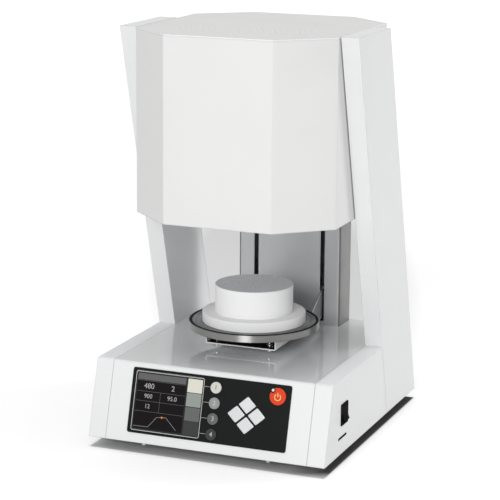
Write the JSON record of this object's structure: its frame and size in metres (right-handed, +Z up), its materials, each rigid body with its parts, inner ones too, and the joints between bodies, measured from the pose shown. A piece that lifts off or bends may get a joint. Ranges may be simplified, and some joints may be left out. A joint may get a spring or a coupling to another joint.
{
  "type": "dental lab furnace",
  "caption": "Bench furnace for dental ceramics with a raised eight-sided firing head between leaning wings and a firing table that rises into it from below.",
  "frame": {"origin": "on the bench under the middle of the base", "axes": "+X to the operator's right, +Y to the rear, +Z up"},
  "size_m": [0.3345, 0.381, 0.545],
  "materials": {
    "white_paint": "fine textured white powder coat",
    "grey_paint": "pale grey powder coat",
    "zinc_sheet": "zinc-plated sheet",
    "ground_steel": "ground, lightly oiled",
    "brushed_steel": "turned and polished stainless steel",
    "aluminium": "milled",
    "brass": "turned",
    "black_rubber": "matte",
    "black_plastic": "satin",
    "transformer_wrap": "taped winding",
    "white_ceramic": "unglazed, slightly chalky",
    "fibre_insulation": "pressed ceramic fibre",
    "grey_ceramic": "speckled grey firing surface",
    "quartz": "translucent quartz",
    "heater_alloy": "oxidised resistance wire",
    "overlay_film": "satin black film",
    "display_glass": "dark screen",
    "key_light": "satin",
    "key_mid": "satin",
    "key_grey": "satin",
    "key_dark": "satin",
    "key_silver": "silver lacquer",
    "key_orange": "satin orange-red",
    "lamp_clear": "milky lens",
    "board_green": "solder mask"
  },
  "bodies": {
    "housing": {"front_cover": "white_paint", "base_side_left": "white_paint", "base_side_right": "white_paint", "wing_left": "white_paint", "wing_right": "white_paint", "wing_plates": "white_paint", "base_pan": "zinc_sheet", "rear_panel": "white_paint", "column_cover": "brushed_steel", "head_shell": "white_paint", "head_lid": "grey_paint", "head_floor": "zinc_sheet", "feet": "black_rubber", "cover_screws": "zinc_sheet", "column_frame": "zinc_sheet", "guide_rods": "ground_steel", "screw_plates": "zinc_sheet", "screw_bearings": "ground_steel", "drive_belt": "black_rubber", "lift_motor": "black_plastic", "seal_ring": "brushed_steel", "muffle_insulation": "fibre_insulation", "quartz_tube": "quartz", "heating_coil": "heater_alloy", "thermocouple": "white_ceramic", "vacuum_shell": "brushed_steel", "control_overlay": "overlay_film", "display": "display_glass", "status_lamp": "lamp_clear", "switch_frame": "black_plastic", "circuit_boards": "board_green", "mains_inlet": "black_plastic", "hose_spigot": "brass", "fan_frame": "black_plastic", "card_reader": "black_plastic", "transformer": "transformer_wrap"},
    "lift": {"lift_carriage": "aluminium", "lift_nut": "brass", "lift_bracket": "white_paint", "float_springs": "ground_steel"},
    "screw": {"lead_screw": "ground_steel", "screw_pulley": "ground_steel"},
    "motor_shaft": {"motor_pulley": "ground_steel"},
    "table": {"table_plate": "brushed_steel", "table_seal": "black_rubber", "table_flange": "white_ceramic", "firing_block": "white_ceramic", "firing_pad": "grey_ceramic", "float_screws": "ground_steel"},
    "rocker": {"switch_rocker": "black_plastic"},
    "fan_wheel": {"fan_rotor": "black_plastic"},
    "button_key_1": {"key_1": "key_light"},
    "button_key_2": {"key_2": "key_mid"},
    "button_key_3": {"key_3": "key_grey"},
    "button_key_4": {"key_4": "key_dark"},
    "button_key_up": {"key_up": "key_silver"},
    "button_key_down": {"key_down": "key_silver"},
    "button_key_left": {"key_left": "key_silver"},
    "button_key_right": {"key_right": "key_silver"},
    "button_start": {"start_key": "key_orange"}
  },
  "joints": [
    {"name": "table_lift", "type": "slide", "parent": "housing", "child": "lift", "axis": [0, 0, 1], "range_m": [0, 0.14845]},
    {"name": "table_float", "type": "slide", "parent": "lift", "child": "table", "axis": [0, 0, 1], "range_m": [-0.003, 0], "stiffness_N_per_m": 10000, "springref_m": 0.004, "deforming": ["float_springs"]},
    {"name": "screw_turn", "type": "hinge", "parent": "housing", "child": "screw", "pos_m": [0, 0.135, 0.2], "axis": [0, 0, 1], "continuous": true},
    {"name": "motor_turn", "type": "hinge", "parent": "housing", "child": "motor_shaft", "pos_m": [0, 0.075, 0.05], "axis": [0, 0, 1], "continuous": true},
    {"name": "rocker_tip", "type": "hinge", "parent": "housing", "child": "rocker", "pos_m": [0.161, -0.1185, 0.0663], "axis": [0, 1, 0], "range_deg": [0, 20]},
    {"name": "fan_turn", "type": "hinge", "parent": "housing", "child": "fan_wheel", "pos_m": [-0.103, 0.16748, 0.06178], "axis": [0, 0.9613, 0.2756], "continuous": true},
    {"name": "press_key_1", "type": "slide", "parent": "housing", "child": "button_key_1", "axis": [0, 0.9613, -0.2756], "range_m": [0, 0.0008], "stiffness_N_per_m": 400, "springref_m": -0.0005},
    {"name": "press_key_2", "type": "slide", "parent": "housing", "child": "button_key_2", "axis": [0, 0.9613, -0.2756], "range_m": [0, 0.0008], "stiffness_N_per_m": 400, "springref_m": -0.0005},
    {"name": "press_key_3", "type": "slide", "parent": "housing", "child": "button_key_3", "axis": [0, 0.9613, -0.2756], "range_m": [0, 0.0008], "stiffness_N_per_m": 400, "springref_m": -0.0005},
    {"name": "press_key_4", "type": "slide", "parent": "housing", "child": "button_key_4", "axis": [0, 0.9613, -0.2756], "range_m": [0, 0.0008], "stiffness_N_per_m": 400, "springref_m": -0.0005},
    {"name": "press_key_up", "type": "slide", "parent": "housing", "child": "button_key_up", "axis": [0, 0.9613, -0.2756], "range_m": [0, 0.0008], "stiffness_N_per_m": 400, "springref_m": -0.0005},
    {"name": "press_key_down", "type": "slide", "parent": "housing", "child": "button_key_down", "axis": [0, 0.9613, -0.2756], "range_m": [0, 0.0008], "stiffness_N_per_m": 400, "springref_m": -0.0005},
    {"name": "press_key_left", "type": "slide", "parent": "housing", "child": "button_key_left", "axis": [0, 0.9613, -0.2756], "range_m": [0, 0.0008], "stiffness_N_per_m": 400, "springref_m": -0.0005},
    {"name": "press_key_right", "type": "slide", "parent": "housing", "child": "button_key_right", "axis": [0, 0.9613, -0.2756], "range_m": [0, 0.0008], "stiffness_N_per_m": 400, "springref_m": -0.0005},
    {"name": "press_start_key", "type": "slide", "parent": "housing", "child": "button_start", "axis": [0, 0.9613, -0.2756], "range_m": [0, 0.0008], "stiffness_N_per_m": 400, "springref_m": -0.0005}
  ],
  "couplings": [
    {"joint": "screw_turn", "follows": "table_lift", "rad_per_m": 785.4},
    {"joint": "motor_turn", "follows": "table_lift", "rad_per_m": 1569.6}
  ]
}
